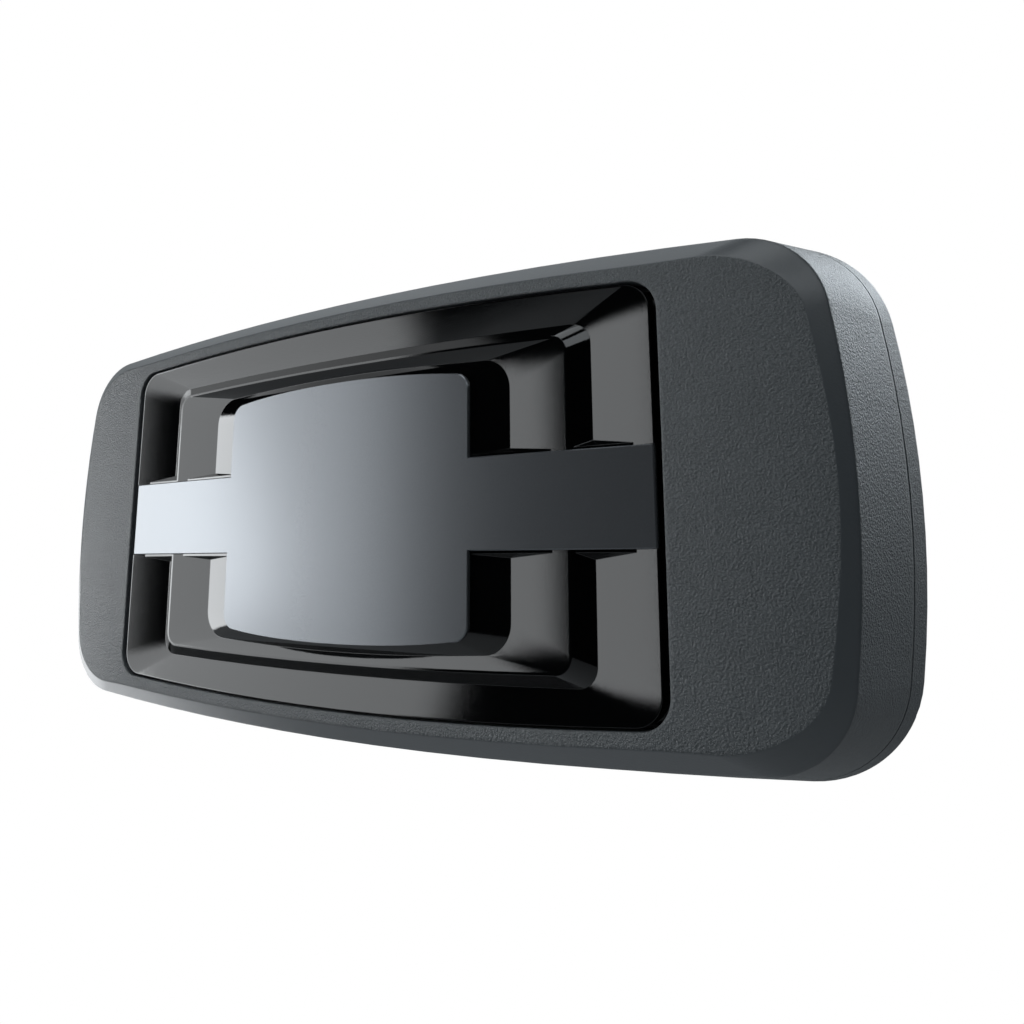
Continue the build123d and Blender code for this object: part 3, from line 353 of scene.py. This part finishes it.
# The button's switch: a black body under a thin stainless cover, with a cream plunger. The button cap
# itself is moulded like the shells, and worn a little smoother by fingers on its round face.
dress("switch_body", mottled_finish("switch nylon", (0.014, 0.014, 0.015), (0.030, 0.030, 0.031),
                                    (0.42, 0.60), 4200, 0.00001))
dress("switch_cover", mottled_finish("stamped stainless", (0.40, 0.40, 0.39), (0.58, 0.57, 0.55),
                                     (0.20, 0.34), 1900, 0.00001, 1.0, (5, 5, 0.4)))
dress("switch_plunger", mottled_finish("cream acetal", (0.50, 0.44, 0.32), (0.64, 0.58, 0.44),
                                       (0.30, 0.46), 2600, 0.00001))
cap_plastic, nodes, links, surface = plain_material("button plastic")
cap_tree = cap_plastic.node_tree
pebbled = put_group(nodes, links, grain, Place=own_place(nodes), Cells_per_metre=5200.0)
touched = reckon(cap_tree, "GREATER_THAN", reckon(cap_tree, "ABSOLUTE", surface_lean(nodes, links)["X"]), 0.9)
links.new(blend_colours(nodes, links, pebbled.outputs["Mottle"], *charcoal), surface.inputs["Base Color"])
links.new(reckon(cap_tree, "SUBTRACT", shell_roughness, reckon(cap_tree, "MULTIPLY", touched, 0.10)),
          surface.inputs["Roughness"])
raise_surface(nodes, links, surface, pebbled.outputs["Height"], 0.6, 0.00004)
dress("side_button", cap_plastic)


# Screws: zinc plated on the board, blackened on the insert's ears, and blackened self-tapping ones from
# the back that pull the two shells together. Plating leaves steel slightly cloudy.
dress("board_screws", mottled_finish("zinc plate", (0.42, 0.43, 0.45), (0.60, 0.60, 0.60), (0.28, 0.46),
                                     2600, 0.00001, 1.0))
dress("insert_screws", mottled_finish("blackened steel", (0.030, 0.030, 0.033), (0.070, 0.070, 0.074),
                                      (0.32, 0.50), 3000, 0.00001, 1.0))
dress("housing_screws", mottled_finish("black zinc", (0.045, 0.046, 0.050), (0.100, 0.100, 0.104),
                                       (0.30, 0.48), 2600, 0.00001, 1.0))


# The front shell is moulded like the rear one. The sloped band round its face was left smooth in the
# mould, so the grain stops at a clean line there and the plastic turns satin.
def polished_border():
    """1 where the surface leans like the band round the face, 0 on the flatter face and on the walls."""
    group, given, made = shared_effect("polished border", {"Lean": None}, ("Smooth",))
    split = group.nodes.new("ShaderNodeSeparateXYZ")
    group.links.new(given.outputs["Lean"], split.inputs[0])
    flattest, steepest = 0.952, 0.45
    forward = reckon(group, "MULTIPLY", split.outputs["Y"], -1.0)
    off_face = reckon(group, "LESS_THAN", forward, flattest)
    off_wall = reckon(group, "GREATER_THAN", forward, steepest)
    group.links.new(reckon(group, "MULTIPLY", off_face, off_wall), made.inputs["Smooth"])
    return group


front_plastic, nodes, links, surface = plain_material("front shell plastic")
front_tree = front_plastic.node_tree
crease_round, polish, grain_lost = 0.0007, 0.14, 0.92
pebbled = put_group(nodes, links, grain, Place=own_place(nodes))
band = put_group(nodes, links, polished_border(), Lean=nodes.new("ShaderNodeNewGeometry").outputs["True Normal"])
smooth = band.outputs["Smooth"]
shade = blend_colours(nodes, links, pebbled.outputs["Mottle"], *charcoal)
links.new(blend_colours(nodes, links, smooth, shade, (0.046, 0.052, 0.057)), surface.inputs["Base Color"])
links.new(reckon(front_tree, "SUBTRACT", shell_roughness, reckon(front_tree, "MULTIPLY", smooth, polish)),
          surface.inputs["Roughness"])
grain_left = reckon(front_tree, "SUBTRACT", 1.0, reckon(front_tree, "MULTIPLY", smooth, grain_lost))
height = reckon(front_tree, "MULTIPLY", pebbled.outputs["Height"], grain_left)
raise_surface(nodes, links, surface, height, 1.0, grain_depth, crease_round)
dress("front_housing", front_plastic)


# The insert is one moulding in black gloss plastic. It drops into the front opening from behind and is
# screwed to four bosses by its ears. Its gloss is a little cloudy, so lamps' edges blur on its slopes.
gloss_black, nodes, links, surface = plain_material("black gloss plastic")
place = own_place(nodes)
swell = noise_over(nodes, links, place, 45, 1)
links.new(spread_over(nodes, links, swell, 0.03, 0.055), surface.inputs["Roughness"])
flecks = noise_over(nodes, links, place, 6500)
links.new(blend_colours(nodes, links, flecks, (0.0006, 0.0007, 0.0008), (0.0018, 0.0019, 0.0021)),
          surface.inputs["Base Color"])
raise_surface(nodes, links, surface, flecks, 0.3, 0.00001, edge_round=0.00012)
surface.inputs["IOR"].default_value = 1.5
dress("glossy_insert", gloss_black)


# The cross plate is thin sheet, sprayed satin grey and pressed to the insert's crown, held by four pegs
# at its back. It is bare: one even coat with the faint texture of dry spray.
satin_grey, nodes, links, surface = plain_material("satin grey coat")
spray = noise_over(nodes, links, own_place(nodes), 7200)
links.new(blend_colours(nodes, links, spray, (0.098, 0.104, 0.112), (0.132, 0.139, 0.149)),
          surface.inputs["Base Color"])
raise_surface(nodes, links, surface, spray, 0.12, 0.00001)
surface.inputs["Roughness"].default_value = 0.25
surface.inputs["Metallic"].default_value = 0.7
dress("cross_plate", satin_grey)


# Four rubber feet are glued in recesses of the back, and a blank silvery rating label lies between them:
# polyester film with a fine brushed grain, left without print.
dress("rubber_feet", mottled_finish("foot rubber", (0.010, 0.010, 0.010), (0.026, 0.026, 0.026),
                                    (0.68, 0.88), 3400, 0.00003))
dress("rating_label", mottled_finish("brushed label film", (0.50, 0.51, 0.52), (0.64, 0.65, 0.66),
                                     (0.34, 0.50), 2600, 0.000004, 0.55, (0.15, 1, 2)))


# The studio: white all round for the camera, dark in front of the glossy pieces, and soft lamps. A grey
# floor, white to the camera, lies well below. Two boxes at the left draw the gradients on the front.
world = bpy.data.worlds.new("studio")
bpy.context.scene.world = world
world.use_nodes = True
nodes, links = world.node_tree.nodes, world.node_tree.links
nodes.clear()
sight = nodes.new("ShaderNodeLightPath")
white_air = nodes.new("ShaderNodeBackground")
white_air.inputs["Color"].default_value = (1, 1, 1, 1)
room = nodes.new("ShaderNodeBackground")
room.inputs["Color"].default_value = (0.90, 0.96, 1, 1)
bearing = nodes.new("ShaderNodeSeparateXYZ")
links.new(nodes.new("ShaderNodeTexCoord").outputs["Generated"], bearing.inputs[0])
rises = []
for axis, start, end, least in (("Y", 0.0, 0.55, 0.0), ("Z", -0.25, 0.45, 0.05)):
    rise = nodes.new("ShaderNodeMapRange")
    rise.interpolation_type = "SMOOTHSTEP"
    rise.inputs["From Min"].default_value = start
    rise.inputs["From Max"].default_value = end
    rise.inputs["To Min"].default_value = least
    links.new(bearing.outputs[axis], rise.inputs["Value"])
    rises.append(rise.outputs["Result"])
links.new(reckon(world.node_tree, "MULTIPLY", *rises), room.inputs["Strength"])
seen = reckon(world.node_tree, "MAXIMUM", sight.outputs["Is Camera Ray"], sight.outputs["Is Transmission Ray"])
blend = nodes.new("ShaderNodeMixShader")
links.new(seen, blend.inputs["Fac"])
links.new(room.outputs[0], blend.inputs[1])
links.new(white_air.outputs[0], blend.inputs[2])
output = nodes.new("ShaderNodeOutputWorld")
links.new(blend.outputs[0], output.inputs[0])

floor_mesh = bpy.data.meshes.new("floor")
reach, drop = 6.0, -1.5
corners = [(x * reach, y * reach, drop) for x, y in ((-1, -1), (1, -1), (1, 1), (-1, 1))]
floor_mesh.from_pydata(corners, [], [(0, 1, 2, 3)])
floor = bpy.data.objects.new("floor", floor_mesh)
bpy.context.scene.collection.objects.link(floor)
matt_grey, nodes, links, surface = plain_material("studio floor")
surface.inputs["Base Color"].default_value = (0.62, 0.63, 0.64, 1)
surface.inputs["Roughness"].default_value = 0.9
surface.inputs["Specular IOR Level"].default_value = 0.1
sight = nodes.new("ShaderNodeLightPath")
glow = nodes.new("ShaderNodeEmission")
blend = nodes.new("ShaderNodeMixShader")
links.new(sight.outputs["Is Camera Ray"], blend.inputs["Fac"])
links.new(surface.outputs[0], blend.inputs[1])
links.new(glow.outputs[0], blend.inputs[2])
links.new(blend.outputs[0], nodes["Material Output"].inputs["Surface"])
floor_mesh.materials.append(matt_grey)


def soft_box(name, azimuth, elevation, width, height, radiance, distance, tint, lean=0.0):
    """A rectangular lamp that faces the gateway. Azimuth 0 is in front; lean tips its top to the gateway's right."""
    lamp = bpy.data.lights.new(name, "AREA")
    lamp.shape = "RECTANGLE"
    lamp.size, lamp.size_y = width, height
    lamp.color = tint
    lamp.energy = radiance * math.pi * width * height
    a, e = math.radians(azimuth), math.radians(elevation)
    towards = Vector((math.sin(a) * math.cos(e), -math.cos(a) * math.cos(e), math.sin(e)))
    stand = bpy.data.objects.new(name, lamp)
    stand.location = towards * distance
    facing = towards.to_track_quat("Z", "Y") @ Quaternion((0, 0, 1), math.radians(lean))
    stand.rotation_euler = facing.to_euler()
    stand.visible_camera = False
    bpy.context.scene.collection.objects.link(stand)


soft_box("left front box", -49.9, 12, 2.16, 5.6, 3.0, 6.0, (0.95, 0.98, 1), 3)
soft_box("left box", -66.5, 2, 0.60, 0.52, 6.2, 1.2, (0.95, 0.98, 1), 26)
soft_box("low left box", -105, -16, 0.8, 0.6, 2.4, 1.2, (0.96, 0.98, 1))
soft_box("front top box", 24, 38, 1.2, 0.5, 2.3, 1.3, (0.90, 0.96, 1))
soft_box("back right box", 150, 30, 0.9, 0.5, 5.2, 1.2, (0.86, 0.94, 1))
soft_box("top box", 0, 72, 1.0, 0.6, 2.2, 1.2, (0.92, 0.97, 1))
